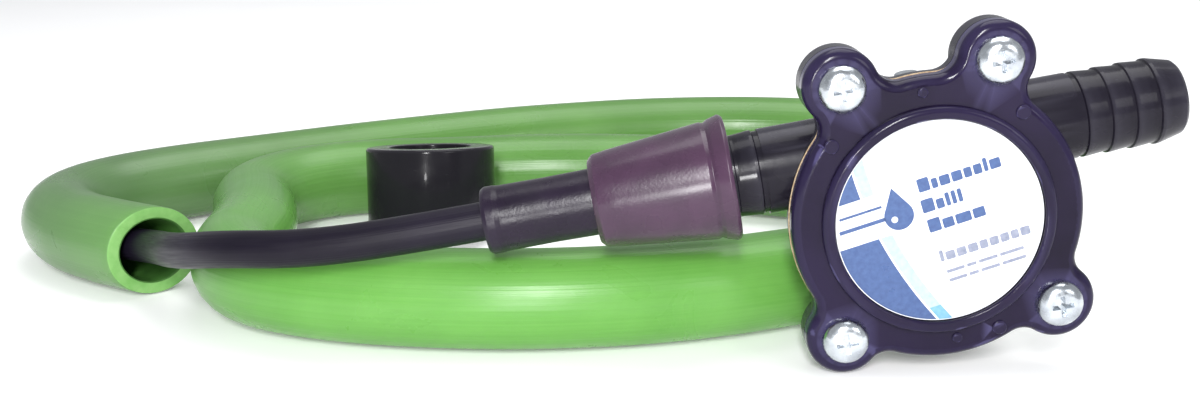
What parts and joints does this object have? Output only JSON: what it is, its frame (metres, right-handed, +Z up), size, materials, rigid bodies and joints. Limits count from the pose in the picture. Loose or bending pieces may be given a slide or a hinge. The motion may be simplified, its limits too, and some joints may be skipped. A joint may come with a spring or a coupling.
{
  "type": "fluid transfer pump",
  "caption": "Drill-driven fluid transfer pump with barbed ports, a stepped rubber adapter, a thin probe tube, a coiled green hose and a loose hose coupling.",
  "frame": {"origin": "on the floor, under the middle of the box that holds the pump, its adapter and the loose coupling, hose and probe left out", "axes": "+Z up; +X along the ports, towards the bare port; +Y back, the way the drive shaft points"},
  "size_m": [0.3266, 0.2427, 0.0828],
  "materials": {
    "body_black": "gloss",
    "cover_black": "gloss",
    "gasket_tan": "matte",
    "label_print": "satin",
    "zinc": "bright zinc",
    "steel": "satin",
    "cam_brass": "satin",
    "bushing_bronze": "satin",
    "seal_rubber": "matte",
    "sleeve_rubber": "satin",
    "reducer_black": "satin",
    "probe_black": "satin",
    "hose_green": "satin",
    "coupling_black": "gloss"
  },
  "bodies": {
    "pump": {"pump_body": "body_black", "front_cover": "cover_black", "cover_gasket": "gasket_tan", "label_disc": "label_print", "cover_screws": "zinc", "cam_plate": "cam_brass", "cam_screw": "zinc", "cam_washer": "gasket_tan", "wear_plate": "steel", "shaft_seal": "seal_rubber", "seal_spring": "steel", "shaft_bushing": "bushing_bronze", "thrust_washer": "steel", "port_sleeve": "sleeve_rubber", "reducer": "reducer_black", "probe_tube": "probe_black", "hose": "hose_green"},
    "rotor": {"drive_shaft": "steel", "retaining_ring": "steel", "drive_pin": "steel", "impeller_insert": "bushing_bronze", "impeller": "seal_rubber"},
    "loose_coupling": {"coupling": "coupling_black", "coupling_washer": "seal_rubber"}
  },
  "joints": [
    {"name": "shaft_spin", "type": "hinge", "parent": "pump", "child": "rotor", "pos_m": [0.0453, -0.0665, 0.03727], "axis": [0, 1, 0], "continuous": true},
    {"name": "coupling_lift", "type": "slide", "parent": "pump", "child": "loose_coupling", "axis": [0, 0, 1], "range_m": [0, 0.06]}
  ]
}
